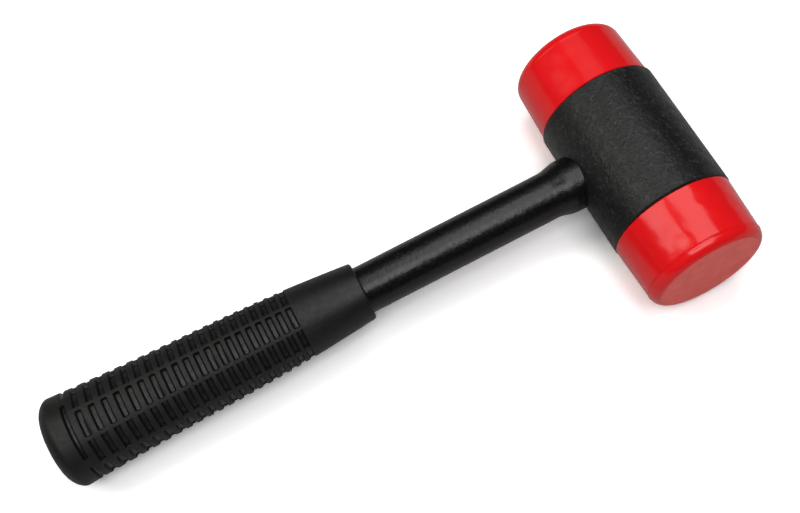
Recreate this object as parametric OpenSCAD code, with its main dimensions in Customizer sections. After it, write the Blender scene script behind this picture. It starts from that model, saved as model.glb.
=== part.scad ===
// Soft-face hammer, lying on its side: a shot-filled drum with two screw-in faces,
// a flared tubular handle and a pocketed rubber grip.
// Millimetres. +Z is up, the handle runs towards -X and the front face looks towards -Y.
// The origin is under the middle of the hammer, on the surface that it lies on.

/* [Drum] */
// Outside diameter of the drum
drum_d = 52; // [46:0.5:60]
// Length of the drum between the two faces
drum_len = 57.7; // [52:0.1:70]
// Wall of the drum around the shot chamber
drum_wall = 3; // [2.2:0.1:4]
// Chamfer on the drum's two rims
drum_chamfer = 0.7; // [0.2:0.1:1]

/* [End plugs] */
// Thickness of the disc that closes each end of the drum
plug_t = 6; // [4:0.5:8]
// Depth of the step that each disc seats on, measured on the radius
plug_step = 0.75; // [0.5:0.05:1.5]
// Diameter of the tapped boss on the inside of the disc
boss_d = 22; // [18:0.5:24]
// Length of the tapped boss
boss_len = 7; // [5:0.5:8]
// Wall left at the blind end of the tapped hole
boss_end = 1; // [0.8:0.1:2]

/* [Faces] */
// Diameter of the front face where it meets the drum
front_face_d = 51.4; // [45:0.1:52]
// Diameter of the rear face where it meets the drum
rear_face_d = 50.4; // [45:0.1:52]
// Draft of a face, on its radius, from the drum to the crease before its rounded edge
face_draft = 0.9; // [0.2:0.05:2]
// Length of a face from the drum to the crease
face_side = 22.6; // [20:0.1:30]
// Radius of the rounded edge round the striking face
face_edge_r = 4.5; // [2:0.1:8]
// Height of the fine parting bead at the crease
bead_h = 0.2; // [0.1:0.05:0.4]
// Width of the parting bead
bead_w = 0.6; // [0.3:0.1:1]

/* [Face fixing] */
// Thread diameter of the stud that is moulded into each face
stud_d = 12; // [10:0.5:14]
// Room between the stud's tip and the blind end of its hole
tip_room = 1.5; // [0.5:0.25:3]
// Length of the stud that is buried in the face
stud_buried = 16; // [12:0.5:18]
// Diameter of the anchor flange on the buried end
anchor_d = 24; // [18:0.5:30]
// Thickness of the anchor flange
anchor_t = 4; // [2:0.5:6]
// Outside diameter of the split lock washer under each face
lock_d = 21; // [18:0.5:24]
// Thickness of the lock washer
lock_t = 2.5; // [1.5:0.1:3.5]
// Width of the slit in the lock washer
lock_slit = 1.2; // [0.8:0.1:2]

/* [Handle] */
// Distance of the handle from the middle of the drum, towards the rear face
handle_offset = 3.9; // [0:0.1:5]
// Outside diameter of the handle tube
tube_d = 19.6; // [17:0.1:22]
// Wall of the handle tube
tube_wall = 1.5; // [1:0.1:2.5]
// Outside diameter of the belled neck at the drum
neck_d = 22.6; // [20:0.1:28]
// Length of the neck's straight end over the drum
neck_land = 3; // [1:0.1:5]
// Length of the neck's flare along the handle
neck_len = 9; // [6:0.5:16]
// Length of the spigot that is pressed into the tube beyond the flare
spigot_grip = 36; // [20:1:60]
// Distance from the head's axis to the butt
handle_len = 254.9; // [230:0.1:290]
// Length of the plug inside the butt end of the tube
cap_len = 10; // [6:0.5:20]
// Thickness of the cap plug's flange over the tube's end
cap_flange = 2; // [1:0.25:3]

/* [Handle fixing] */
// Thread diameter of the spigot's shank through the drum wall
shank_d = 12; // [10:0.5:13]
// Diameter of the saddle washer inside the drum
saddle_d = 26; // [22:0.5:28]
// Thickness of the saddle washer over its middle
saddle_t = 5.5; // [5:0.1:7]
// Width of the nut across its flats
nut_af = 19; // [17:0.5:20]
// Height of the nut
nut_h = 6; // [5:0.25:7]
// Thread that stands proud of the nut
shank_proud = 1; // [0.5:0.25:2]

/* [Grip] */
// Length of the rubber grip
grip_len = 133.6; // [120:0.2:145]
// Rubber over the tube at the grip's head end
grip_wall = 2.3; // [1.8:0.1:4]
// Diameter of the grip at its butt rim
butt_d = 37.3; // [30:0.1:42]
// Swell of the grip's outline under the fingers
grip_swell = 0.47; // [0:0.01:1]
// Fullness of the grip's outline at half length
grip_bow = 0.81; // [0:0.01:1.2]
// Radius of the lip at the grip's head end
lip_r = 1; // [0.5:0.1:1.8]
// Radius of the domed butt
dome_r = 8; // [6:0.5:14]
// Radius that rounds the butt's rim into the dome
rim_r = 2.9; // [1.5:0.1:4]
// Rubber between the tube's cap and the butt
butt_wall = 4.6; // [3:0.1:8]

/* [Grip pockets] */
// Smooth collar from the grip's head end to the first ring of pockets
collar_len = 29.5; // [22:0.1:36]
// Smooth band from the last ring of pockets to the butt
band_len = 16.8; // [15:0.2:24]
// Number of pocket rings
ring_count = 20; // [14:1:22]
// Number of pockets round each ring
lane_count = 9; // [6:1:12]
// Width of a pocket along the handle
pocket_w = 2.5; // [1.5:0.1:3]
// Depth of a pocket
pocket_depth = 1; // [0.5:0.1:1.4]
// Width of the rib between two pockets of a ring
rib_w = 1.3; // [0.8:0.1:2.5]
// Distance from the butt to the middle of the long slots
slot_in = 11.7; // [10:0.1:14]
// Width of a long slot along the handle
slot_w = 2; // [1:0.1:2.5]
// Width of the bridge between two long slots
slot_bridge = 3.6; // [2:0.1:6]
// Number of long slots round the butt
slot_count = 4; // [2:1:6]

/* [Shot] */
// Diameter of a steel ball in the chamber
ball_d = 8; // [7:0.5:9]
// Travel of the shot each way along the head
shot_travel = 4; // [2:0.5:5]

/* [Hidden] */
$fn = 96;

// Radial room between pieces that are pressed, screwed or moulded together
fit = 0.05;
// Room between flat faces that meet across a moving joint
seat = 0.1;
// Radial room of the lock washer on its stud
slip = 0.1;
// Room round the loose shot
loose = 0.3;
// Room between neighbouring balls
ball_gap = 0.05;
// How far cuts run past the solid that they cut
overrun = 1;
// Turn of the pocket lanes round the handle
lane_turn = -11.3;
// Turn of the long slots round the handle
slot_turn = -15.75;
// Share by which the ring pitch is below its mean at the head end
pitch_share = 0.084;
// Balls up to this share of the chamber's height
fill_share = 0.62;
// Share of the dome's radius that lies between its middle and the butt's rim
dome_share = 0.91;
// Steps of a curved outline
outline_steps = 10;
// Straight stretches of the grip's outline along its smooth collar and its butt band
smooth_steps = 5;

front = -1;
rear = 1;
drum_r = drum_d / 2;
chamber_r = drum_r - drum_wall;
plug_r = chamber_r + plug_step;
tap_depth = plug_t + boss_len - boss_end;
face_len = face_side + face_edge_r;
stud_r = stud_d / 2;
// Thread of the stud that is engaged in the end plug
stud_engaged = tap_depth - tip_room;
lock_r = lock_d / 2;
lock_pocket = lock_t + seat;

tube_r = tube_d / 2;
bore_r = tube_r - tube_wall;
neck_r = neck_d / 2;
shank_r = shank_d / 2;
neck_start = drum_r + neck_land;
neck_end = neck_start + neck_len;
spigot_end = neck_end + spigot_grip;
saddle_face = chamber_r - saddle_t;
nut_face = saddle_face - nut_h;
shank_end = nut_face - shank_proud;

grip_r0 = tube_r + grip_wall;
butt_r = butt_d / 2;
grip_start = handle_len - grip_len;
cap_end = handle_len - butt_wall;
tube_end = cap_end - cap_flange;
// The butt's dome is a round on a smaller radius, and the rim is rounded into both
dome_mid_r = butt_r - dome_share * dome_r;
dome_s = handle_len - dome_r;
rim_mid_r = butt_r - rim_r;
rim_s = dome_s + sqrt(pow(dome_r - rim_r, 2) - pow(rim_mid_r - dome_mid_r, 2));
rim_turn = atan2(rim_s - dome_s, rim_mid_r - dome_mid_r);

// The drum and the butt's rim both touch the surface, so the handle slopes down a little
lie_angle = asin((drum_r - rim_r) / norm([rim_s, rim_mid_r])) - atan2(rim_mid_r, rim_s);
reach_back = dome_s * cos(lie_angle) + dome_mid_r * sin(lie_angle) + dome_r;
head_x = (reach_back - drum_r) / 2;

ball_r = ball_d / 2;
ball_pitch = ball_d + ball_gap;
ball_reach = chamber_r - ball_r - loose;
row_rise = ball_pitch * sin(60);
row_top = floor((chamber_r * (2 * fill_share - 1) + ball_reach) / row_rise);
row_side = ceil(chamber_r / ball_pitch);

// Radius of a face where it meets the drum
function face_r(side) = (side == front ? front_face_d : rear_face_d) / 2;

// Radius of the grip at distance s from the head's axis
function grip_r(s) =
    let (u = (s - grip_start) / (rim_s - grip_start))
    grip_r0 + (butt_r - grip_r0) * u + grip_swell * sin(360 * u) + grip_bow * sin(180 * u);

// Place of pocket ring i, counted from the head end, with a pitch that grows towards the butt
first_ring = grip_start + collar_len;
ring_span = grip_len - collar_len - band_len;
function ring_s(i) =
    let (u = i / (ring_count - 1))
    first_ring + ring_span * (u * (1 - pitch_share) + pitch_share * pow(u, 3));

// Radius of the tube's outside in the flare, which eases from the neck to the tube
function flare_r(s) =
    let (u = min(1, max(0, (s - neck_start) / neck_len)))
    tube_r + (neck_r - tube_r) * (1 + cos(180 * u)) / 2;

function arc(mid_r, mid_s, r, from, to) =
    [for (i = [0:outline_steps])
        let (a = from + (to - from) * i / outline_steps)
        [mid_r + r * cos(a), mid_s + r * sin(a)]];

function flare_points(inset) =
    [for (i = [0:outline_steps])
        let (s = neck_start + neck_len * i / outline_steps)
        [flare_r(s) - inset, s]];

// True where a row of balls along the head passes the handle's fixing with room to spare
function clear_of_fixing(x, z) =
    (x > ball_r + loose - saddle_face || abs(z) > saddle_d / 2 + ball_r + loose) &&
    (x > ball_r + loose - shank_end || abs(z) > nut_af / cos(30) / 2 + ball_r + loose);

// A row between the two bosses is shorter than one that passes beside them
function row_room(x, z) =
    let (beside = norm([x, z]) > boss_d / 2 + ball_r + loose)
    drum_len - 2 * (plug_t + (beside ? 0 : boss_len) + shot_travel + loose);

// Rows of balls, stacked from the drum's lowest side
shot_rows = [
    for (k = [0:row_top], j = [-row_side:row_side])
    let (x = (j + (k % 2) / 2) * ball_pitch, z = k * row_rise - ball_reach)
    if (norm([x, z]) <= ball_reach + ball_gap && clear_of_fixing(x, z)) [x, z]
];

// The head's axis lies along Y at the drum's radius above the surface
module at_head() {
    translate([head_x, 0, drum_r]) children();
}

// Children drawn along +Z from the drum's middle look outwards at one end of the head
module at_end(side) {
    at_head() rotate([-90 * side, 0, 0]) children();
}

// Children drawn along +Z from the head's axis run along the handle
module at_handle() {
    at_head() translate([0, handle_offset, 0]) rotate([0, -90 - lie_angle, 0]) children();
}

// A round bar along the head's axis, used to seat the neck on the drum
module head_bar(r) {
    at_head() rotate([90, 0, 0]) cylinder(r = r, h = drum_len, center = true);
}

module drum_shell() {
    color("#26262a")
    difference() {
        at_head() rotate([90, 0, 0]) rotate_extrude() difference() {
            translate([0, -drum_len / 2]) square([drum_r, drum_len]);
            translate([0, -drum_len / 2 - overrun]) square([chamber_r, drum_len + 2 * overrun]);
            for (side = [front, rear]) scale([1, side]) {
                translate([0, drum_len / 2 - plug_t]) square([plug_r, plug_t + overrun]);
                translate([drum_r, drum_len / 2]) rotate(45)
                    square(drum_chamfer * sqrt(2), center = true);
            }
        }
        at_handle() cylinder(r = shank_r + fit, h = drum_r + overrun);
    }
}

module end_plug(side) {
    color("silver")
    at_end(side) translate([0, 0, drum_len / 2 - plug_t]) difference() {
        union() {
            cylinder(r = plug_r - fit, h = plug_t);
            translate([0, 0, -boss_len]) cylinder(d = boss_d, h = boss_len);
        }
        translate([0, 0, plug_t - tap_depth]) cylinder(r = stud_r + fit, h = tap_depth + overrun);
    }
}

module face_outline(side) {
    crease_r = face_r(side) - face_draft;
    flat_r = crease_r - face_edge_r;
    polygon([[0, 0], [face_r(side), 0], [crease_r, face_side], [0, face_side]]);
    square([flat_r, face_len]);
    translate([flat_r, face_side]) intersection() {
        circle(r = face_edge_r);
        square(face_edge_r);
    }
    translate([crease_r - bead_h, face_side - bead_w / 2]) square([2 * bead_h, bead_w]);
}

// The stud with its anchor flange, from its threaded tip to its buried end
module stud_shape(room) {
    translate([0, 0, -stud_engaged - seat])
        cylinder(r = stud_r + room, h = stud_engaged + seat + stud_buried + room);
    translate([0, 0, stud_buried - anchor_t - room])
        cylinder(r = anchor_d / 2 + room, h = anchor_t + 2 * room);
}

module at_face(side) {
    at_end(side) translate([0, 0, drum_len / 2 + seat]) children();
}

module face(side) {
    color("#d3141f")
    at_face(side) difference() {
        rotate_extrude() face_outline(side);
        stud_shape(fit);
        translate([0, 0, -overrun]) cylinder(r = lock_r + loose, h = lock_pocket + overrun);
    }
}

module face_stud(side) {
    color("gainsboro")
    at_face(side) stud_shape(0);
}

module lock_washer(side) {
    color("dimgray")
    at_face(side) difference() {
        cylinder(r = lock_r, h = lock_t);
        translate([0, 0, -overrun]) cylinder(r = stud_r + slip, h = lock_t + 2 * overrun);
        translate([0, -lock_slit / 2, -overrun]) cube([lock_d, lock_slit, lock_t + 2 * overrun]);
    }
}

module handle_tube() {
    outside = concat([[neck_r, 0]], flare_points(0), [[tube_r, tube_end]]);
    inside = concat([[bore_r, tube_end]], [for (i = [outline_steps:-1:0]) flare_points(tube_wall)[i]],
        [[neck_r - tube_wall, 0]]);
    color("#1d1d20")
    difference() {
        at_handle() rotate_extrude() polygon(concat(outside, inside));
        head_bar(drum_r + fit);
    }
}

module neck_spigot() {
    body = concat([[0, 0], [neck_r - tube_wall - fit, 0]], flare_points(tube_wall + fit),
        [[bore_r - fit, spigot_end], [0, spigot_end]]);
    color("slategray") {
        difference() {
            at_handle() rotate_extrude() polygon(body);
            head_bar(drum_r + fit);
        }
        at_handle() translate([0, 0, shank_end]) cylinder(r = shank_r, h = neck_end - shank_end);
    }
}

module saddle_washer() {
    color("darkgray")
    intersection() {
        at_handle() translate([0, 0, saddle_face]) difference() {
            cylinder(d = saddle_d, h = saddle_t);
            translate([0, 0, -overrun]) cylinder(r = shank_r + fit, h = saddle_t + 2 * overrun);
        }
        head_bar(chamber_r - fit);
    }
}

module spigot_nut() {
    color("lightsteelblue")
    at_handle() translate([0, 0, nut_face]) difference() {
        cylinder(d = nut_af / cos(30), h = nut_h, $fn = 6);
        translate([0, 0, -overrun]) cylinder(r = shank_r + fit, h = nut_h + 2 * overrun);
    }
}

module tube_cap() {
    color("#3a3a3c")
    at_handle() {
        translate([0, 0, tube_end - cap_len]) cylinder(r = bore_r - fit, h = cap_len);
        translate([0, 0, tube_end]) cylinder(r = tube_r, h = cap_flange);
    }
}

// The grip's outline has one straight stretch for each ring, so a ring lies on one cone
module grip_outline() {
    lip_s = grip_start + lip_r;
    lands = [for (i = [0:ring_count]) (ring_s(i - 1) + ring_s(i)) / 2];
    last = lands[ring_count];
    collar = [for (i = [1:smooth_steps - 1]) lip_s + (lands[0] - lip_s) * i / smooth_steps];
    band = [for (i = [1:smooth_steps - 1]) last + (rim_s - last) * i / smooth_steps];
    side = [for (s = concat(collar, lands, band)) [grip_r(s), s]];
    lip = arc(grip_r(lip_s) - lip_r, lip_s, lip_r, -90, 0);
    rim = arc(rim_mid_r, rim_s, rim_r, 0, rim_turn);
    dome = arc(dome_mid_r, dome_s, dome_r, rim_turn, 90);
    polygon(concat([[0, grip_start]], lip, side, rim, dome, [[0, handle_len]]));
}

// A groove round the grip, centred at s, that follows the outline's cone
module groove(s, width) {
    a = s - width / 2;
    b = s + width / 2;
    rotate_extrude() polygon([
        [grip_r(a) - pocket_depth, a], [grip_r(a) + overrun, a],
        [grip_r(b) + overrun, b], [grip_r(b) - pocket_depth, b]
    ]);
}

// Upright ribs that divide the grooves, evenly spaced round the handle
module dividers(count, width, turn, from, to) {
    for (i = [0:count - 1])
        rotate(turn + 360 / count * (i + 1 / 2))
            translate([0, -width / 2, from]) cube([butt_d, width, to - from]);
}

module grip_sleeve() {
    color("#161616")
    at_handle() difference() {
        rotate_extrude() grip_outline();
        translate([0, 0, grip_start - overrun])
            cylinder(r = tube_r + fit, h = cap_end + fit - grip_start + overrun);
        difference() {
            for (i = [0:ring_count - 1]) groove(ring_s(i), pocket_w);
            dividers(lane_count, rib_w, lane_turn, first_ring - pocket_w, handle_len);
        }
        difference() {
            groove(handle_len - slot_in, slot_w);
            dividers(slot_count, slot_bridge, slot_turn, first_ring, handle_len);
        }
    }
}

module steel_shot() {
    color("gray")
    at_head() for (row = shot_rows)
        let (balls = floor((row_room(row[0], row[1]) + ball_gap) / ball_pitch))
        for (i = [0:balls - 1])
            translate([row[0], (i - (balls - 1) / 2) * ball_pitch, row[1]]) sphere(r = ball_r, $fn = 32);
}

drum_shell();
end_plug(front);  // end_plug_front
end_plug(rear);  // end_plug_rear
steel_shot();
face(front);  // face_front
face(rear);  // face_rear
face_stud(front);  // face_stud_front
face_stud(rear);  // face_stud_rear
lock_washer(front);  // lock_washer_front
lock_washer(rear);  // lock_washer_rear
handle_tube();
neck_spigot();
saddle_washer();
spigot_nut();
tube_cap();
grip_sleeve();
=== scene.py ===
"""Looks of the soft-face hammer: its skins, finishes, floor, light and camera.

Metres throughout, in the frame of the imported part: +Z up, the handle towards -X, and the front face
towards -Y.
"""

import math

import bmesh
import bpy
import numpy as np
from mathutils import Matrix, Vector


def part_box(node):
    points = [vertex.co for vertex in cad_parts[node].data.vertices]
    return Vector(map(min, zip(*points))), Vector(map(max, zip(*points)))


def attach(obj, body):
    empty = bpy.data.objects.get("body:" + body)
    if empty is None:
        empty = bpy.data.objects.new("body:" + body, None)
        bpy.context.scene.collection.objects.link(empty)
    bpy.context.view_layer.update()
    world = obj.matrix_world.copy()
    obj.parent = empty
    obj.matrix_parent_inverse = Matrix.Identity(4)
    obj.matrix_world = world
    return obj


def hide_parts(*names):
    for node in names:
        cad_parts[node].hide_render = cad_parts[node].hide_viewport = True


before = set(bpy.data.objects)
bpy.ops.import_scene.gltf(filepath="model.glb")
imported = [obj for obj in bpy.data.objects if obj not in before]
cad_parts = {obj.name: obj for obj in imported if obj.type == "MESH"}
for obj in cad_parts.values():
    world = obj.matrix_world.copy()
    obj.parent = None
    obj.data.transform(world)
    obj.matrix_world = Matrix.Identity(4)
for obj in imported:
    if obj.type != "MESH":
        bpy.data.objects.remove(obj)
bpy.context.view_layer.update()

# In names, R is a radius, S a place along an axis, W a width, H a height and T a thickness.
# ROWS and COLUMNS count the steps of a mesh, and a SHARE has no unit.
MM = 0.001
TURN = 2 * math.pi
QUARTER = TURN / 4

# Head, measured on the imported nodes
drum_low, drum_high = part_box("drum_shell")
face_low, face_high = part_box("face_front")
back_low, back_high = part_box("face_rear")
HEAD = (drum_low + drum_high) / 2
DRUM_R = (drum_high.x - drum_low.x) / 2
DRUM_HALF = (drum_high.y - drum_low.y) / 2
FRONT_FACE_R = (face_high.x - face_low.x) / 2
REAR_FACE_R = (back_high.x - back_low.x) / 2
FACE_LEN = face_high.y - face_low.y
FACE_START = HEAD.y - face_high.y
FRONT, REAR = -1, 1

# Faces
EDGE_R = 4.5 * MM
EDGE_START = math.radians(6)
FACE_DRAFT = 0.9 * MM
CREASE_S = FACE_LEN - EDGE_R
FRONT_BEAD_H = 0.2 * MM
REAR_BEAD_H = 0.012 * MM
BEAD_W = 0.6 * MM
BEAD_SPAN = -TURN / 6, TURN / 8
FACE_RIM_CUT = 0.5 * MM
FACE_RIM_STEP = 0.35 * MM
FLAT_SHARE = 0.98
FACE_ROWS = 8
BEAD_ROWS = 6
EDGE_ROWS = 16
FLAT_ROWS = 6
FACE_COLUMNS = 160

# Studs: a groove's floor ends, and the crest beside it starts, at these shares of half a pitch
STUD_R = 6.0 * MM
STUD_OUT = 10.6 * MM
STUD_IN = 16.0 * MM
ANCHOR_R = 12.0 * MM
ANCHOR_T = 4.0 * MM
THREAD_PITCH = 1.75 * MM
THREAD_DEPTH = 1.0 * MM
THREAD_ROOT = 0.08
THREAD_CREST = 0.88
STUD_ROWS = 90
STUD_COLUMNS = 72

# Lock washers
LOCK_R = 10.5 * MM
LOCK_T = 2.5 * MM
LOCK_SLIT = 1.2 * MM
LOCK_EDGE = 0.25 * MM
LOCK_ROOM = 0.3 * MM
LOCK_COLUMNS = 90
FIT = 0.05 * MM

# Handle: distances along it are measured from the head's axis
HANDLE_OFFSET = 3.9 * MM
HANDLE_LEN = 254.9 * MM
TUBE_R = 9.8 * MM
TUBE_WALL = 1.5 * MM
TUBE_EDGE = 0.2 * MM
NECK_R = 11.3 * MM
NECK_SEAT = 3.0 * MM
NECK_START = DRUM_R + NECK_SEAT
NECK_LEN = 9.0 * MM
BUTT_WALL = 4.6 * MM
CAP_FLANGE = 2.0 * MM
CAP_END = HANDLE_LEN - BUTT_WALL
TUBE_END = CAP_END - CAP_FLANGE
FLARE_ROWS = 16
TUBE_COLUMNS = 96

# Grip outline
GRIP_LEN = 133.6 * MM
GRIP_WALL = 2.3 * MM
GRIP_START = HANDLE_LEN - GRIP_LEN
GRIP_R = TUBE_R + GRIP_WALL
BUTT_R = 18.65 * MM
GRIP_SWELL = 0.47 * MM
GRIP_BOW = 0.81 * MM
LIP_R = 1.0 * MM
MOUTH = 0.5 * MM
OUTSIDE_R = TUBE_R + 2 * MOUTH
DOME_R = 8.0 * MM
RIM_R = 2.9 * MM
DOME_SHARE = 0.91
DOME_S = HANDLE_LEN - DOME_R
DOME_MID = BUTT_R - DOME_SHARE * DOME_R
RIM_MID = BUTT_R - RIM_R
RIM_S = DOME_S + math.sqrt((DOME_R - RIM_R) ** 2 - (RIM_MID - DOME_MID) ** 2)
RIM_TURN = math.atan2(RIM_S - DOME_S, RIM_MID - DOME_MID)
LIP_ROWS = 6
COLLAR_ROWS = 8
BUTT_ROWS = 5
RIM_ROWS = 5
DOME_ROWS = 14
END_ROWS = 4

# Grip pockets: rings along the grip and lanes round it, with ribs between the lanes, sized by angle
RING_COUNT = 20
LANE_COUNT = 9
LANE_PITCH = TURN / LANE_COUNT
LANE_TURN = math.radians(-11.3)
COLLAR_LEN = 29.5 * MM
BAND_LEN = 16.8 * MM
PITCH_SHARE = 0.084
POCKET_W = 2.5 * MM
POCKET_DEPTH = 1.4 * MM
POCKET_SPREAD_SHARE = 0.12
POCKET_SEED = 11
WALL_DRAFT = 0.55 * MM
WALL_EDGE = 0.2 * MM
RIB_HALF = math.radians(2.5)
RIB_EDGE = 0.05 * MM / GRIP_R
RIB_DRAFT = 0.15 * MM / GRIP_R
LOW_RIB = 6
LOW_RIB_SHARE = 0.48
LANES = LANE_COUNT, LANE_TURN, RIB_HALF
WALL_ROWS = 6
RIB_COLUMNS = 3
GRIP_COLUMNS = 72
COLUMN_DIGITS = 4
COLUMN_GAP = math.radians(0.15)

# Long slots of the grip, near the butt, with bridges between them
SLOT_COUNT = 4
SLOT_TURN = math.radians(-15.75)
SLOT_W = 2.0 * MM
SLOT_FROM_END = 11.7 * MM
SLOT_S = HANDLE_LEN - SLOT_FROM_END
BRIDGE_HALF = math.radians(6.0)
SLOTS = SLOT_COUNT, SLOT_TURN, BRIDGE_HALF

# The drum and the butt's rim both lie on the floor, which tilts the handle
RIM_REACH = math.hypot(RIM_S, RIM_MID)
LIE_ANGLE = math.asin((DRUM_R - RIM_R) / RIM_REACH) - math.atan2(RIM_MID, RIM_S)
HANDLE_AT = HEAD + Vector((0, HANDLE_OFFSET, 0))
ALONG_HANDLE = Matrix.Translation(HANDLE_AT) @ Matrix.Rotation(-QUARTER - LIE_ANGLE, 4, "Y")

# Meshes: edges that turn further than this are sharp, and points closer than this are one
SHARP_TURN = math.radians(38)
JOIN_GAP = 0.0001 * MM


def out_of_face(side):
    """Frame of one face: Z runs out of the head, from where the face meets the drum."""
    start = HEAD + Vector((0, side * FACE_START, 0))
    return Matrix.Translation(start) @ Matrix.Rotation(-side * QUARTER, 4, "X")


def even(start, end, steps):
    """Values from start to end, both included."""
    return [start + (end - start) * i / steps for i in range(steps + 1)]


def round_angles(steps):
    """Angles of a whole turn in even steps."""
    return np.arange(steps) * TURN / steps


def arc(mid_r, mid_s, r, start, end, steps):
    """Points on a round of an outline."""
    return [(mid_r + r * math.cos(a), mid_s + r * math.sin(a)) for a in even(start, end, steps)]


def ease(t):
    """Smooth step from 0 to 1."""
    t = np.clip(t, 0, 1)
    return t * t * (3 - 2 * t)


def skin(name, place, outline, angles, shape=None, whole=True):
    """A closed skin turned round the Z axis of place.

    The outline has (radius, distance along the axis) points. It starts and ends on the axis, or is a
    loop. shape moves the points by angle. A skin that isn't whole stops at its first and last angle,
    with flat ends.
    """
    r, s = np.array(outline).T
    angle = np.tile(angles, (len(r), 1))
    r = np.repeat(r[:, None], len(angles), 1)
    s = np.repeat(s[:, None], len(angles), 1)
    if shape:
        r, s = shape(r, s, angle)
    points = np.stack([r * np.cos(angle), r * np.sin(angle), s], -1).reshape(-1, 3)
    rows, columns = angle.shape
    loop = bool(r[0].min() > 0)
    index = np.arange(rows * columns).reshape(rows, columns)
    if loop:
        index = np.vstack([index, index[:1]])
    ends = []
    if whole:
        index = np.hstack([index, index[:, :1]])
    else:
        ends = [index[:rows, 0].tolist(), index[:rows, -1].tolist()]
    corners = [index[:-1, :-1], index[:-1, 1:], index[1:, 1:], index[1:, :-1]]
    quads = np.stack(corners, -1).reshape(-1, len(corners)).tolist()
    mesh = bpy.data.meshes.new(name)
    mesh.from_pydata(points, [], quads + ends)
    clean(mesh)
    mesh.transform(place)
    piece = bpy.data.objects.new(name, mesh)
    bpy.context.scene.collection.objects.link(piece)
    return piece


def clean(mesh):
    """Joins the points on the axis, turns faces outwards and shades smoothly between sharp edges."""
    work = bmesh.new()
    work.from_mesh(mesh)
    bmesh.ops.remove_doubles(work, verts=work.verts, dist=JOIN_GAP)
    bmesh.ops.recalc_face_normals(work, faces=work.faces)
    work.to_mesh(mesh)
    work.free()
    mesh.shade_smooth()
    mesh.set_sharp_from_angle(angle=SHARP_TURN)


def dress(piece, body, nodes, finish):
    """Puts a new piece on its body, in place of its nodes, with its finish."""
    piece.data.materials.append(finish)
    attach(piece, body)
    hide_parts(*nodes)


# Skins of the head

def face_piece(side, face_r, bead_h, name):
    """A moulded face with draft, a crease bead, a rounded edge and the seats of its washer and stud."""
    hole_r = STUD_R + FIT
    seat_r = LOCK_R + LOCK_ROOM
    seat_s = LOCK_T + LOCK_ROOM
    anchor_r = ANCHOR_R + FIT
    anchor_low = STUD_IN - ANCHOR_T - FIT
    anchor_top = STUD_IN + FIT
    outline = [
        (0, anchor_top), (anchor_r, anchor_top), (anchor_r, anchor_low), (hole_r, anchor_low),
        (hole_r, seat_s), (seat_r, seat_s), (seat_r, 0),
    ]
    outline += [(face_r - FACE_RIM_CUT, 0), (face_r, FACE_RIM_STEP)]
    bead_start = CREASE_S - BEAD_W / 2
    for s in even(2 * FACE_RIM_STEP, bead_start - BEAD_W, FACE_ROWS):
        outline.append((face_r - FACE_DRAFT * s / CREASE_S, s))
    crease_r = face_r - FACE_DRAFT
    bead_mid = crease_r - bead_h
    outline += [(crease_r, bead_start - bead_h), (bead_mid, bead_start)]
    for a in even(*BEAD_SPAN, BEAD_ROWS):
        outline.append((bead_mid + 2 * bead_h * math.cos(a), CREASE_S + BEAD_W / 2 * math.sin(a)))
    flat_r = crease_r - EDGE_R
    outline += arc(flat_r, CREASE_S, EDGE_R, EDGE_START, QUARTER, EDGE_ROWS)
    outline += [(r, FACE_LEN) for r in even(flat_r * FLAT_SHARE, 0, FLAT_ROWS)]
    return skin(name, out_of_face(side), outline, round_angles(FACE_COLUMNS))


def stud_piece(side, name):
    """The threaded stud of a face, with its anchor flange."""
    lead = THREAD_DEPTH
    anchor_low = STUD_IN - ANCHOR_T
    outline = [(0, -STUD_OUT), (STUD_R - lead, -STUD_OUT)]
    outline += [(STUD_R, s) for s in even(-STUD_OUT + lead, 0, STUD_ROWS)]
    outline += [(STUD_R, anchor_low), (ANCHOR_R, anchor_low), (ANCHOR_R, STUD_IN), (0, STUD_IN)]

    def thread(r, s, angle):
        """Cuts the groove, which fades out at both ends."""
        phase = (s / THREAD_PITCH - angle / TURN) % 1
        flank = (np.abs(2 * phase - 1) - THREAD_ROOT) / (THREAD_CREST - THREAD_ROOT)
        groove = THREAD_DEPTH * (1 - np.clip(flank, 0, 1))
        cut = (s > -STUD_OUT) & (s < 0) & (r > STUD_R - lead)
        fade = ease(-s / THREAD_PITCH) * ease((s + STUD_OUT) / lead)
        return np.where(cut, r - groove * fade, r), s

    return skin(name, out_of_face(side), outline, round_angles(STUD_COLUMNS), thread)


def washer_piece(side, name):
    """A split spring washer of square section with broken edges."""
    hole = STUD_R + 2 * FIT
    inner = hole + LOCK_EDGE
    outer = LOCK_R - LOCK_EDGE
    top = LOCK_T - LOCK_EDGE
    outline = [
        (inner, 0), (outer, 0), (LOCK_R, LOCK_EDGE), (LOCK_R, top),
        (outer, LOCK_T), (inner, LOCK_T), (hole, top), (hole, LOCK_EDGE),
    ]
    slit = LOCK_SLIT / (LOCK_R + hole)
    angles = np.array(even(slit, TURN - slit, LOCK_COLUMNS))
    return skin(name, out_of_face(side), outline, angles, whole=False)


# Skins of the handle

def flare_r(s):
    """Outside radius of the handle's flare, which eases from the neck to the tube."""
    return TUBE_R + (NECK_R - TUBE_R) * (1 + math.cos(math.pi * (s - NECK_START) / NECK_LEN)) / 2


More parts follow.
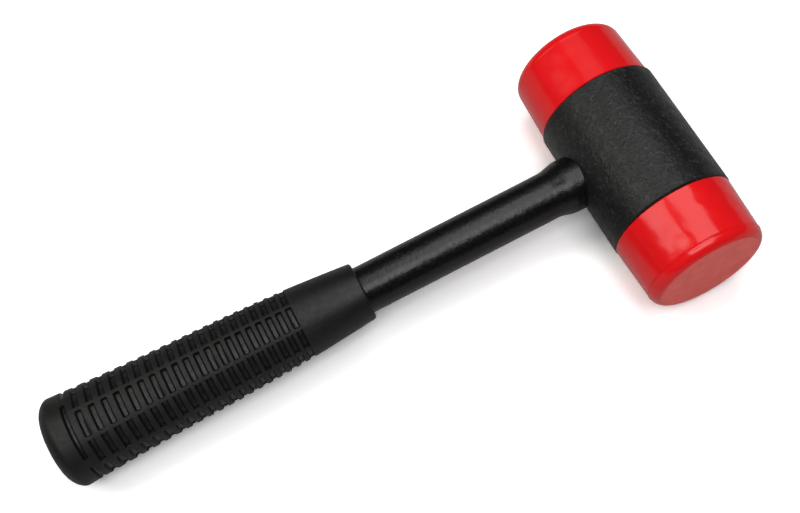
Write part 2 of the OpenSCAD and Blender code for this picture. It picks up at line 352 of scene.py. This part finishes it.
def tube_piece(name):
    """The handle tube, flared at its neck and seated on the drum."""
    flare = [(flare_r(s), s) for s in even(NECK_START, NECK_START + NECK_LEN, FLARE_ROWS)]
    third = TUBE_EDGE / 3
    outline = [(NECK_R - TUBE_WALL, 0), (NECK_R - TUBE_EDGE, 0), (NECK_R - third, third)]
    outline += [(NECK_R, TUBE_EDGE)] + flare + [(TUBE_R, TUBE_END)]
    outline += [(r - TUBE_WALL, s) for r, s in [(TUBE_R, TUBE_END)] + flare[::-1]]

    def saddle(r, s, angle):
        """Fits the end of the neck to the drum."""
        seat = np.sqrt((DRUM_R + FIT) ** 2 - (r * np.cos(angle)) ** 2)
        return r, np.where(s < NECK_START, seat + s / NECK_START * (NECK_START - seat), s)

    return skin(name, ALONG_HANDLE, outline, round_angles(TUBE_COLUMNS), saddle)


def grip_r(s):
    """Outside radius of the grip."""
    u = (s - GRIP_START) / (RIM_S - GRIP_START)
    taper = GRIP_R + (BUTT_R - GRIP_R) * u
    return taper + GRIP_SWELL * math.sin(TURN * u) + GRIP_BOW * math.sin(math.pi * u)


def ring_places():
    """Middles of the pocket rings, whose pitch grows towards the butt."""
    first = GRIP_START + COLLAR_LEN
    span = HANDLE_LEN - BAND_LEN - first
    shares = [i / (RING_COUNT - 1) for i in range(RING_COUNT)]
    return [first + span * (u * (1 - PITCH_SHARE) + PITCH_SHARE * u ** 3) for u in shares]


def both_walls(middle, inner, outer, steps):
    """Places across the two walls of a pocket or rib round middle."""
    half = even(inner, outer, steps)
    return [middle - x for x in reversed(half)] + [middle + x for x in half]


def rib_angles(count, turn):
    """Middles of the ribs, which lie halfway between the pockets of a ring."""
    return [turn + TURN * (i + 0.5) / count for i in range(count)]


def rib_mask(angle, count, turn, half):
    """0 on the ribs between pockets and 1 on the pockets' floors."""
    pitch = TURN / count
    off = np.abs((angle - turn) % pitch - pitch / 2)
    return ease((off - half + RIB_EDGE) / (RIB_EDGE + RIB_DRAFT))


def low_rib(angle):
    """Share of the pockets' depth that the one low rib is sunk by, and 0 beyond it."""
    middle = rib_angles(LANE_COUNT, LANE_TURN)[LOW_RIB]
    off = np.abs((angle - middle + math.pi) % TURN - math.pi)
    return np.where(off < LANE_PITCH / 2, LOW_RIB_SHARE, 0)


def pocket_mask(s, middle, width):
    """1 on a pocket's floor and 0 outside it, along the handle."""
    return ease((width / 2 + WALL_EDGE - np.abs(s - middle)) / (WALL_EDGE + WALL_DRAFT))


def grip_columns():
    """Angles that follow every rib and bridge closely and the floors between them loosely."""
    found = list(round_angles(GRIP_COLUMNS))
    for count, turn, half in (LANES, SLOTS):
        for middle in rib_angles(count, turn):
            found += both_walls(middle, half - RIB_EDGE, half + RIB_DRAFT, RIB_COLUMNS)
    found = np.unique(np.round(np.array(found) % TURN, COLUMN_DIGITS))
    return found[np.diff(np.append(found, found[0] + TURN)) > COLUMN_GAP]


def grip_rows():
    """Places along the grip that follow every pocket wall closely."""
    rings = ring_places()
    found = [GRIP_START + LIP_R]
    found += even(GRIP_START + 2 * LIP_R, rings[0] - 2 * POCKET_W, COLLAR_ROWS)
    found += [(a + b) / 2 for a, b in zip(rings, rings[1:])]
    for middle, width in [(s, POCKET_W) for s in rings] + [(SLOT_S, SLOT_W)]:
        found += both_walls(middle, width / 2 - WALL_DRAFT, width / 2 + WALL_EDGE, WALL_ROWS)
        found.append(middle)
    found += even(SLOT_S + SLOT_W, RIM_S, BUTT_ROWS)
    return sorted(found)


def grip_piece(name):
    """The rubber grip: a swelling sleeve with rings of pockets, long slots and a domed end."""
    bore = TUBE_R + FIT
    rings = np.array(ring_places())
    draw = np.random.default_rng(POCKET_SEED)
    uneven = POCKET_SPREAD_SHARE * draw.uniform(-1, 1, (RING_COUNT, LANE_COUNT))
    depth = POCKET_DEPTH * (1 + uneven)
    lip_mid = grip_r(GRIP_START + LIP_R) - LIP_R
    outline = [(0, CAP_END + FIT), (bore, CAP_END + FIT), (bore, GRIP_START + 2 * MOUTH)]
    outline += [(bore + MOUTH, GRIP_START)]
    outline += arc(lip_mid, GRIP_START + LIP_R, LIP_R, -QUARTER, 0, LIP_ROWS)[:-1]
    outline += [(grip_r(s), s) for s in grip_rows()]
    outline += arc(RIM_MID, RIM_S, RIM_R, 0, RIM_TURN, RIM_ROWS)[1:]
    outline += arc(DOME_MID, DOME_S, DOME_R, RIM_TURN, QUARTER, DOME_ROWS)[1:]
    outline += [(r, HANDLE_LEN) for r in even(DOME_MID, 0, END_ROWS)[1:]]

    def pockets(r, s, angle):
        """Sinks the pockets and slots into the outside."""
        lane = ((angle - LANE_TURN + LANE_PITCH / 2) % TURN // LANE_PITCH).astype(int)
        floor = np.maximum(rib_mask(angle, *LANES), low_rib(angle))
        sunk = np.zeros_like(r)
        for i, middle in enumerate(rings):
            sunk += depth[i][lane % LANE_COUNT] * floor * pocket_mask(s, middle, POCKET_W)
        sunk += POCKET_DEPTH * rib_mask(angle, *SLOTS) * pocket_mask(s, SLOT_S, SLOT_W)
        return np.where(r > OUTSIDE_R, r - sunk, r), s

    return skin(name, ALONG_HANDLE, outline, grip_columns(), pockets)


def finish_floors(piece, finish):
    """Gives the floors of the grip's pockets their own finish."""
    piece.data.materials.append(finish)
    last = len(piece.data.materials) - 1
    back = ALONG_HANDLE.inverted()
    for part in piece.data.polygons:
        x, y, s = back @ part.center
        r = math.hypot(x, y)
        if OUTSIDE_R < r < grip_r(s) - POCKET_DEPTH / 2 and s < RIM_S:
            part.material_index = last


# Sockets of a Mix node, which has one set for numbers and one for colours
MIX_SHARE = 0
MIX_NUMBERS = 2, 3
MIX_NUMBER_OUT = 0
MIX_COLOURS = 6, 7
MIX_COLOUR_OUT = 2

# A noise keeps mostly within this reach of its middle
NOISE_MID = 0.5
NOISE_REACH = 0.2


class Nodes:
    """A node tree that new nodes are added to and joined up in."""

    def __init__(self, tree):
        self.tree = tree

    def put(self, socket, value):
        """Gives a socket a value, or joins it to another node's output."""
        if isinstance(value, bpy.types.NodeSocket):
            self.tree.links.new(value, socket)
        else:
            socket.default_value = value

    def add(self, kind, inputs=(), **settings):
        """A new node with these settings and inputs."""
        node = self.tree.nodes.new("ShaderNode" + kind)
        for name, value in settings.items():
            setattr(node, name, value)
        for name, value in dict(inputs).items():
            self.put(node.inputs[name], value)
        return node

    def math(self, operation, *values):
        """Result of an operation on numbers."""
        return self.add("Math", enumerate(values), operation=operation).outputs[0]

    def spread(self, value, low, high, to_low=0.0, to_high=1.0):
        """Maps the span from low to high onto another, and holds what lies beyond it."""
        source = {"Value": value, "From Min": low, "From Max": high}
        return self.add("MapRange", {**source, "To Min": to_low, "To Max": to_high}).outputs["Result"]

    def between(self, share, first, second):
        """A number between two others."""
        inputs = {MIX_SHARE: share, **dict(zip(MIX_NUMBERS, (first, second)))}
        return self.add("Mix", inputs).outputs[MIX_NUMBER_OUT]

    def blend(self, share, first, second):
        """A colour between two others."""
        inputs = {MIX_SHARE: share, **dict(zip(MIX_COLOURS, (first, second)))}
        return self.add("Mix", inputs, data_type="RGBA").outputs[MIX_COLOUR_OUT]


class Finish(Nodes):
    """A node material, built up from textures in the piece's own metres."""

    def __init__(self, name, **sockets):
        self.material = bpy.data.materials.new(name)
        self.material.use_nodes = True
        super().__init__(self.material.node_tree)
        self.shader = self.tree.nodes["Principled BSDF"]
        self.set(**sockets)
        self.at = self.add("TexCoord").outputs["Object"]

    def set(self, **sockets):
        """Sets the shader's sockets, named with underscores, to a value or to another node's output."""
        for name, value in sockets.items():
            self.put(self.shader.inputs[name.replace("_", " ")], value)

    def along(self, axis):
        """Distance along one axis of the frame."""
        return self.add("SeparateXYZ", {"Vector": self.at}).outputs[axis]

    def noise(self, size, detail, rough=0.5, twist=0.0):
        """Noise whose features are about that size."""
        inputs = {"Vector": self.at, "Scale": 1 / size, "Detail": detail, "Roughness": rough}
        return self.add("TexNoise", {**inputs, "Distortion": twist}).outputs["Fac"]

    def cells(self, size):
        """Distance from scattered points about that far apart, in shares of the size."""
        return self.add("TexVoronoi", {"Vector": self.at, "Scale": 1 / size}).outputs["Distance"]

    def vary(self, noise, low=0.0, high=1.0, reach=NOISE_REACH):
        """Maps a noise's reach about its middle onto low to high."""
        return self.spread(noise, NOISE_MID - reach, NOISE_MID + reach, low, high)

    def bump(self, height, depth, under=None):
        """Relief of that depth, on top of another relief."""
        inputs = {"Height": height, "Distance": depth, "Strength": 1.0}
        if under:
            inputs["Normal"] = under
        return self.add("Bump", inputs).outputs["Normal"]


def grey(level):
    """A colour of even red, green and blue."""
    return (level, level, level, 1)


# Red moulding of the faces, and its matt, scuffed striking end, whose pale tint is partly scuffing and
# partly a painted sheen
RED_IOR = 1.37
RED_TINTS = (0.66, 0.0062, 0.0085, 1), (0.74, 0.0082, 0.0105, 1)
RED_CLOUDS = dict(size=18 * MM, detail=3)
RED_ROUGH = 0.14, 0.22
RED_SHEEN = dict(size=6 * MM, detail=4)
RED_WAVES = dict(size=5 * MM, detail=0)
RED_WAVE_H = 0.20 * MM
REAR_WAVE_SHARE = 0.45
RED_GRAIN = dict(size=1.6 * MM, detail=2)
RED_GRAIN_H = 0.02 * MM
MATT_START = 0.45 * MM
MATT_FULL = 0.02 * MM
MATT_ROUGH = 0.5
# Pale tints of the striking end: partly scuff whitening, partly a painted sheen that stands in for the
# floor's reflection
SCUFF_AND_SHEEN_TINTS = (0.88, 0.104, 0.084, 1), (1.0, 0.148, 0.122, 1)
SCUFFS = dict(size=7 * MM, detail=5, rough=0.62)
SCUFF_REACH = 0.16


def red_plastic():
    """Glossy red moulding, a little uneven, with a matt and scuffed striking end whose pale tint is
    partly a painted sheen.
    """
    f = Finish("red_plastic", IOR=RED_IOR)
    across = f.along("Y")
    tip = FACE_START + FACE_LEN
    end = f.spread(f.math("ABSOLUTE", across), tip - MATT_START, tip - MATT_FULL)
    tint = f.blend(f.noise(**RED_CLOUDS), *RED_TINTS)
    # The striking end's pale colour is partly scuffing and partly a painted sheen
    scuff_and_sheen = f.blend(f.vary(f.noise(**SCUFFS), reach=SCUFF_REACH), *SCUFF_AND_SHEEN_TINTS)
    f.set(Base_Color=f.blend(end, tint, scuff_and_sheen))
    gloss = f.vary(f.noise(**RED_SHEEN), *RED_ROUGH)
    f.set(Roughness=f.between(end, gloss, MATT_ROUGH))
    ripple = f.math("SUBTRACT", f.noise(**RED_WAVES), NOISE_MID)
    calm = f.spread(across, -DRUM_HALF, DRUM_HALF, 1.0, REAR_WAVE_SHARE)
    shown = f.math("MULTIPLY", calm, f.math("SUBTRACT", 1.0, end))
    wave = f.bump(f.math("MULTIPLY", ripple, shown), RED_WAVE_H)
    f.set(Normal=f.bump(f.noise(**RED_GRAIN), RED_GRAIN_H, wave))
    return f.material


# Textured coat of the drum, and its scuff strokes
COAT_IOR = 1.35
COAT_TINTS = (0.004, 0.004, 0.0042, 1), (0.009, 0.009, 0.0088, 1)
COAT_CLOUDS = dict(size=14 * MM, detail=3)
COAT_ROUGH = 0.32, 0.50
COAT_SHEEN = dict(size=3.5 * MM, detail=4, rough=0.6)
COAT_REACH = 0.15
COAT_GRAIN = dict(size=2.0 * MM, detail=3, rough=0.6, twist=0.4)
COAT_GRAIN_H = 0.32 * MM
STROKE_TINT = (0.024, 0.024, 0.023, 1)
STROKE_LINES = dict(size=2.4 * MM, detail=1)
STROKE_LINE_SPAN = 0.005, 0.05
STROKE_PLACES = dict(size=1.7 * MM, detail=1)
STROKE_PLACE_SPAN = 0.50, 0.58
STROKE_H = 0.11 * MM


def drum_coat():
    """Matt black textured coat with crescent scuffs."""
    f = Finish("drum_coat", IOR=COAT_IOR)
    off_line = f.math("ABSOLUTE", f.math("SUBTRACT", f.noise(**STROKE_LINES), NOISE_MID))
    line = f.spread(off_line, *STROKE_LINE_SPAN, 1, 0)
    stroke = f.math("MULTIPLY", line, f.spread(f.noise(**STROKE_PLACES), *STROKE_PLACE_SPAN))
    coat = f.blend(f.noise(**COAT_CLOUDS), *COAT_TINTS)
    f.set(Base_Color=f.blend(stroke, coat, STROKE_TINT))
    f.set(Roughness=f.vary(f.noise(**COAT_SHEEN), *COAT_ROUGH, COAT_REACH))
    grain = f.bump(f.noise(**COAT_GRAIN), COAT_GRAIN_H)
    f.set(Normal=f.bump(stroke, STROKE_H, grain))
    return f.material


# Satin paint of the tube
PAINT_IOR = 1.37
PAINT_TINTS = grey(0.0015), grey(0.0035)
PAINT_CLOUDS = dict(size=10 * MM, detail=3)
PAINT_ROUGH = 0.22, 0.34
PAINT_SHEEN = dict(size=1.5 * MM, detail=4)
PAINT_PEEL = dict(size=1.5 * MM, detail=2, rough=0.6)
PAINT_PEEL_H = 0.11 * MM
PIT_PITCH = 7 * MM
PIT_SPAN = 0.03, 0.06
PIT_DEPTH = 0.1 * MM


def satin_paint():
    """Satin black paint with a slight orange peel and a few pits."""
    f = Finish("satin_paint", IOR=PAINT_IOR)
    f.set(Base_Color=f.blend(f.noise(**PAINT_CLOUDS), *PAINT_TINTS))
    f.set(Roughness=f.vary(f.noise(**PAINT_SHEEN), *PAINT_ROUGH))
    peel = f.bump(f.noise(**PAINT_PEEL), PAINT_PEEL_H)
    f.set(Normal=f.bump(f.spread(f.cells(PIT_PITCH), *PIT_SPAN), PIT_DEPTH, peel))
    return f.material


# Rubber of the grip: its outside, and the smoother, lumpier floors of its pockets
RUBBER_IOR = 1.37
RUBBER_TINTS = (0.0025, 0.0025, 0.0024, 1), (0.006, 0.006, 0.0058, 1)
RUBBER_CLOUDS = dict(size=7 * MM, detail=4)
RUBBER_SHEEN = dict(size=2 * MM, detail=4)
RUBBER_LUMPS = dict(size=2.4 * MM, detail=2)
RUBBER_GRAIN = dict(size=0.4 * MM, detail=3, rough=0.6)
RUBBER_ROUGH_SPAN = 0.12
COLLAR_GLOSS = 0.12
OUTSIDE_RUBBER = dict(rough=0.50, grain_h=0.05 * MM, lump_h=0.08 * MM)
POCKET_RUBBER = dict(rough=0.36, grain_h=0.02 * MM, lump_h=0.25 * MM)


def grip_rubber(name, rough, grain_h, lump_h):
    """Black moulded rubber with a fine grain and a faint bloom, glossier along the collar."""
    f = Finish(name, IOR=RUBBER_IOR)
    f.set(Base_Color=f.blend(f.noise(**RUBBER_CLOUDS), *RUBBER_TINTS))
    mouth_x = HEAD.x - GRIP_START
    collar = f.spread(f.along("X"), mouth_x - COLLAR_LEN, mouth_x, 0, COLLAR_GLOSS)
    sheen = f.vary(f.noise(**RUBBER_SHEEN), rough, rough + RUBBER_ROUGH_SPAN)
    f.set(Roughness=f.math("SUBTRACT", sheen, collar))
    lumps = f.bump(f.noise(**RUBBER_LUMPS), lump_h)
    f.set(Normal=f.bump(f.noise(**RUBBER_GRAIN), grain_h, lumps))
    return f.material


# Steels, each with the pitch of its tool marks and the axis that they follow
STEEL_CLOUDS = dict(size=3 * MM, detail=4, rough=0.6)
STEEL_DARK_SHARE = 0.72
STEEL_ROUGH_SPAN = 0.14
MARK_TWIST = 1.2
MARK_DETAIL = 2
MARK_H = 0.008 * MM
PLATED = dict(tone=(0.62, 0.62, 0.64, 1), rough=0.26, axis="Y", pitch=0.3 * MM)
TURNED = dict(tone=(0.50, 0.50, 0.52, 1), rough=0.32, axis="Y", pitch=0.5 * MM)
BALLS = dict(tone=(0.42, 0.41, 0.40, 1), rough=0.28, axis="DIAGONAL", pitch=2.0 * MM)


def worked_steel(name, tone, rough, axis, pitch):
    """Bare or plated steel with fine tool marks across an axis and a cloudy surface."""
    f = Finish(name, Metallic=1.0)
    cloud = f.noise(**STEEL_CLOUDS)
    dark = [c * STEEL_DARK_SHARE for c in tone[:3]] + [1]
    f.set(Base_Color=f.blend(cloud, dark, tone))
    f.set(Roughness=f.vary(cloud, rough, rough + STEEL_ROUGH_SPAN))
    bands = {"Vector": f.at, "Scale": 1 / (TURN * pitch)}
    bands.update({"Distortion": MARK_TWIST, "Detail": MARK_DETAIL})
    marks = f.add("TexWave", bands, bands_direction=axis).outputs["Fac"]
    f.set(Normal=f.bump(marks, MARK_H))
    return f.material


# Plastic of the tube's cap
CAP_IOR = 1.45
CAP_TINTS = grey(0.02), grey(0.03)
CAP_CLOUDS = dict(size=4 * MM, detail=3)
CAP_ROUGH = 0.5, 0.62
CAP_SHEEN = dict(size=1 * MM, detail=3)
CAP_SPARK = dict(size=0.4 * MM, detail=3)
CAP_SPARK_H = 0.03 * MM


def cap_plastic():
    """Black moulded plastic with a fine spark texture."""
    f = Finish("cap_plastic", IOR=CAP_IOR)
    f.set(Base_Color=f.blend(f.noise(**CAP_CLOUDS), *CAP_TINTS))
    f.set(Roughness=f.vary(f.noise(**CAP_SHEEN), *CAP_ROUGH))
    f.set(Normal=f.bump(f.noise(**CAP_SPARK), CAP_SPARK_H))
    return f.material


# Floor: a disc just under the hammer, and the distances over which it turns to plain white
FLOOR_RINGS = 0, 0.3, 1.0, 3.0, 12.0
FLOOR_T = 0.01
FLOOR_DROP = 0.05 * MM
FLOOR_COLUMNS = 64
FLOOR_PALE = grey(0.56)
FLOOR_MIRRORED = grey(0.46)
FLOOR_SEEN = grey(1.38)
SEEN_GLOW = 0.35, 0.9
MIRRORED_GLOW = 0.7, 2.2
WHITE = grey(1)


def floor_finish():
    """Pale floor that keeps the hammer's shadow, and glows white further off where seen or mirrored."""
    f = Finish("floor", Roughness=1.0, Specular_IOR_Level=0.0, Emission_Color=WHITE)
    away = f.add("VectorMath", {0: f.at}, operation="LENGTH").outputs["Value"]
    path = f.add("LightPath").outputs
    seen = path["Is Camera Ray"]
    mirrored = f.math("MAXIMUM", path["Is Glossy Ray"], path["Is Transmission Ray"])
    seen_glow = f.math("MULTIPLY", seen, f.spread(away, *SEEN_GLOW))
    mirrored_glow = f.math("MULTIPLY", mirrored, f.spread(away, *MIRRORED_GLOW))
    f.set(Emission_Strength=f.math("MAXIMUM", seen_glow, mirrored_glow))
    pale = f.blend(mirrored, FLOOR_PALE, FLOOR_MIRRORED)
    f.set(Base_Color=f.blend(seen, pale, FLOOR_SEEN))
    return f.material


def make_floor():
    """The floor that the hammer lies on."""
    outline = [(r, 0) for r in FLOOR_RINGS] + [(FLOOR_RINGS[-1], -FLOOR_T), (0, -FLOOR_T)]
    place = Matrix.Translation((0, 0, -FLOOR_DROP))
    floor = skin("floor", place, outline, round_angles(FLOOR_COLUMNS))
    floor.data.materials.append(floor_finish())


# Light: a dim surround, and soft lamps at these places, in metres
DIM = (0.05, 0.05, 0.052, 1)
LAMP_H = 0.90
OVERHEAD_X = 0.318
OVERHEAD_Y = 0.140
OVERHEAD_W = 0.664
OVERHEAD_LEN = 0.58
OVERHEAD_RADIANCE = 3.3
OVERHEAD_TINT = (1, 1, 0.99)
BEHIND_LEN = 0.37
BEHIND_Y = OVERHEAD_Y + (OVERHEAD_LEN + BEHIND_LEN) / 2
BEHIND_RADIANCE = 0.6
FRONT_X = -0.05
FRONT_Y = -0.37
FRONT_SIZE = 0.80, 0.44
FRONT_RADIANCE = 5.0
FRONT_TINT = (1, 1, 1)
SIDE_AT = (-0.443, 0.30, 0.69)
SIDE_TARGET = (0.114, 0.30, 0.05)
SIDE_SIZE = 0.36, 0.68
SIDE_RADIANCE = 4.2
SIDE_TINT = (1, 0.985, 0.94)


def make_world():
    """Dim light from all round, and plain white where the camera sees past the floor."""
    world = bpy.data.worlds.new("studio")
    world.use_nodes = True
    nodes = Nodes(world.node_tree)
    seen = nodes.add("LightPath").outputs["Is Camera Ray"]
    nodes.put(world.node_tree.nodes["Background"].inputs["Color"], nodes.blend(seen, DIM, WHITE))
    bpy.context.scene.world = world


def softbox(name, at, target, size, radiance, tint):
    """A soft rectangular lamp that faces its target."""
    width, length = size
    lamp = bpy.data.lights.new(name, "AREA")
    lamp.shape = "RECTANGLE"
    lamp.size = width
    lamp.size_y = length
    lamp.energy = math.pi * width * length * radiance
    lamp.color = tint
    holder = bpy.data.objects.new(name, lamp)
    holder.location = at
    holder.rotation_mode = "QUATERNION"
    holder.rotation_quaternion = (Vector(target) - Vector(at)).to_track_quat("-Z", "Y")
    holder.visible_camera = False
    bpy.context.scene.collection.objects.link(holder)


def downlight(name, x, y, size, radiance, tint):
    """A soft lamp overhead that faces straight down."""
    softbox(name, (x, y, LAMP_H), (x, y, 0), size, radiance, tint)


def make_lamps():
    """A lamp overhead with a dimmer one behind it, one in front, and a warm one beyond the butt."""
    overhead = OVERHEAD_W, OVERHEAD_LEN
    behind = OVERHEAD_W, BEHIND_LEN
    downlight("overhead_box", OVERHEAD_X, OVERHEAD_Y, overhead, OVERHEAD_RADIANCE, OVERHEAD_TINT)
    downlight("overhead_rim", OVERHEAD_X, BEHIND_Y, behind, BEHIND_RADIANCE, OVERHEAD_TINT)
    downlight("front_box", FRONT_X, FRONT_Y, FRONT_SIZE, FRONT_RADIANCE, FRONT_TINT)
    softbox("side_box", SIDE_AT, SIDE_TARGET, SIDE_SIZE, SIDE_RADIANCE, SIDE_TINT)


# The view that the photograph has: where the camera is, and how it is turned
CAMERA_AT = Vector((-42.11, -186.75, 460.64)) * MM
CAMERA_AZIMUTH = math.radians(-15.622)
CAMERA_ELEVATION = math.radians(65.002)
CAMERA_ROLL = math.radians(-12.171)
IMAGE_W = 800
FOCAL_PIXELS = 1206.87
SENSOR = 36.0
NEAREST_SEEN = 10 * MM


def make_camera():
    """A camera with the photograph's view."""
    data = bpy.data.cameras.new("camera")
    data.sensor_width = SENSOR
    data.lens = FOCAL_PIXELS * SENSOR / IMAGE_W
    data.clip_start = NEAREST_SEEN
    camera = bpy.data.objects.new("camera", data)
    turned = (Matrix.Rotation(CAMERA_AZIMUTH, 4, "Z")
              @ Matrix.Rotation(QUARTER - CAMERA_ELEVATION, 4, "X")
              @ Matrix.Rotation(CAMERA_ROLL, 4, "Z"))
    camera.matrix_world = Matrix.Translation(CAMERA_AT) @ turned
    bpy.context.scene.collection.objects.link(camera)
    bpy.context.scene.camera = camera


def finish_node(node, finish):
    """Gives its finish to a CAD node that is shown as it is."""
    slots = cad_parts[node].data.materials
    slots.clear()
    slots.append(finish)


def make_end(side, end, face_r, bead_h, red, plated, turned):
    """One end of the head: its face, stud, lock washer and plug."""
    face = face_piece(side, face_r, bead_h, f"{end}_face_moulding")
    dress(face, f"{end}_face", [f"face_{end}"], red)
    stud = stud_piece(side, f"{end}_face_stud")
    dress(stud, f"{end}_face", [f"face_stud_{end}"], plated)
    washer = washer_piece(side, f"{end}_spring_washer")
    dress(washer, f"{end}_washer", [f"lock_washer_{end}"], plated)
    finish_node(f"end_plug_{end}", turned)


def make_hammer():
    """The new skins, each on its body, and the finishes of the CAD nodes that keep their shape."""
    red = red_plastic()
    paint = satin_paint()
    plated = worked_steel("plated_steel", **PLATED)
    turned = worked_steel("turned_steel", **TURNED)
    balls = worked_steel("shot_steel", **BALLS)
    make_end(FRONT, "front", FRONT_FACE_R, FRONT_BEAD_H, red, plated, turned)
    make_end(REAR, "rear", REAR_FACE_R, REAR_BEAD_H, red, plated, turned)
    dress(tube_piece("flared_tube"), "hammer", ["handle_tube"], paint)
    grip = grip_piece("pocketed_grip")
    rubber = grip_rubber("grip_rubber", **OUTSIDE_RUBBER)
    dress(grip, "hammer", ["grip_sleeve"], rubber)
    finish_floors(grip, grip_rubber("pocket_rubber", **POCKET_RUBBER))
    finish_node("drum_shell", drum_coat())
    finish_node("neck_spigot", turned)
    finish_node("saddle_washer", turned)
    finish_node("spigot_nut", plated)
    finish_node("steel_shot", balls)
    finish_node("tube_cap", cap_plastic())


make_hammer()
make_floor()
make_world()
make_lamps()
make_camera()
bpy.context.scene.view_settings.view_transform = "Standard"
